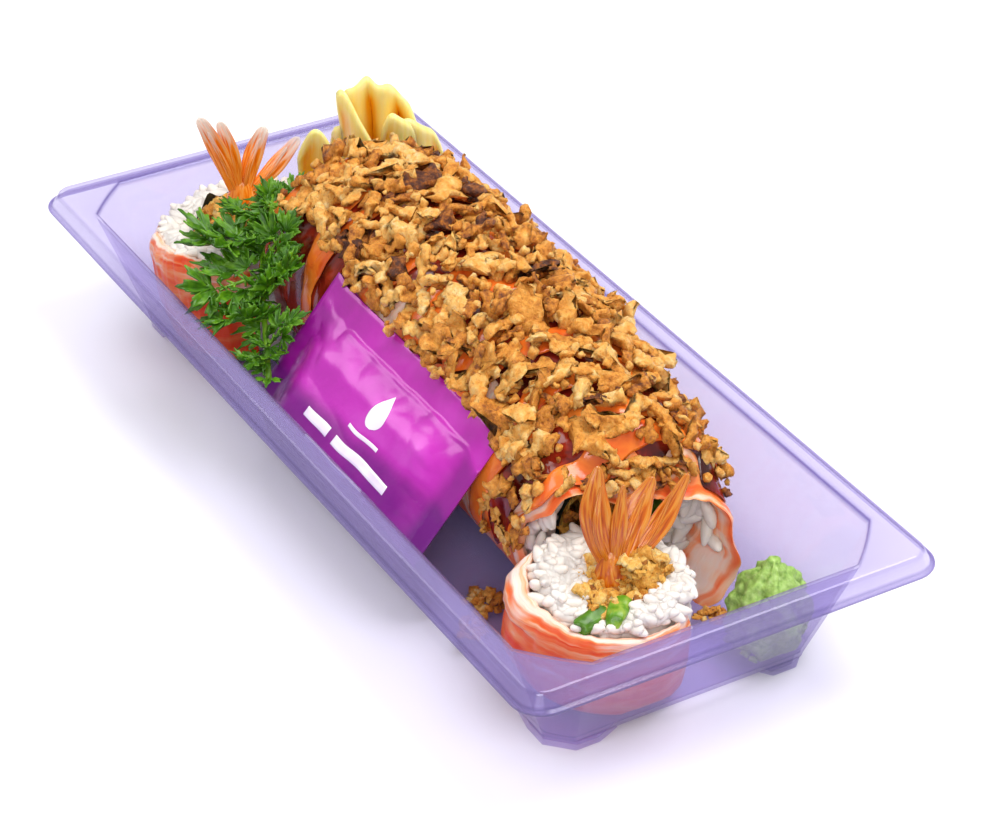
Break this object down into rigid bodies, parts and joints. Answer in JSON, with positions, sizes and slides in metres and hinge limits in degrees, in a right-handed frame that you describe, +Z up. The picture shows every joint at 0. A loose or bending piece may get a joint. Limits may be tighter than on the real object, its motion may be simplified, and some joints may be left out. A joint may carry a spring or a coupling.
{
  "type": "takeaway sushi tray",
  "caption": "Clear tinted takeaway tray with a sushi roll under fried onions, its end pieces stood on end with prawn tails up, a sauce sachet, ginger, wasabi and parsley.",
  "frame": {"origin": "on the table, under the middle of the tray", "axes": "+X along the tray towards the end with the wasabi, +Y across it away from the sachet, +Z up"},
  "size_m": [0.2202, 0.0984, 0.0589],
  "materials": {
    "tray_plastic": "clear lavender plastic, glossy",
    "rice": "cooked rice, slightly moist",
    "nori": "seaweed sheet, matte",
    "fried_batter": "fried batter, rough",
    "crab_stick": "moist surimi, semi-gloss",
    "prawn_tail": "thin shell, glossy",
    "green_vegetable": "avocado and spring onion, moist",
    "fried_onion": "crisp fried onion, rough",
    "sachet_film": "printed film, glossy",
    "pickled_ginger": "wet translucent slices",
    "wasabi": "piped paste, satin",
    "parsley": "fresh leaf, satin"
  },
  "bodies": {
    "root": {"tray": "tray_plastic", "front_rice": "rice", "front_nori": "nori", "front_filling": "fried_batter", "front_surimi": "crab_stick", "front_tail": "prawn_tail", "back_rice": "rice", "back_nori": "nori", "back_filling": "fried_batter", "back_surimi": "crab_stick", "back_tail": "prawn_tail", "roll_rice": "rice", "roll_nori": "nori", "roll_filling": "fried_batter", "roll_green": "green_vegetable", "roll_surimi": "crab_stick", "onions": "fried_onion", "sachet": "sachet_film", "fallen_onion_1": "fried_onion", "fallen_onion_2": "fried_onion", "fallen_onion_3": "fried_onion", "ginger": "pickled_ginger", "ginger_slice": "pickled_ginger", "wasabi": "wasabi", "parsley": "parsley"}
  },
  "joints": []
}
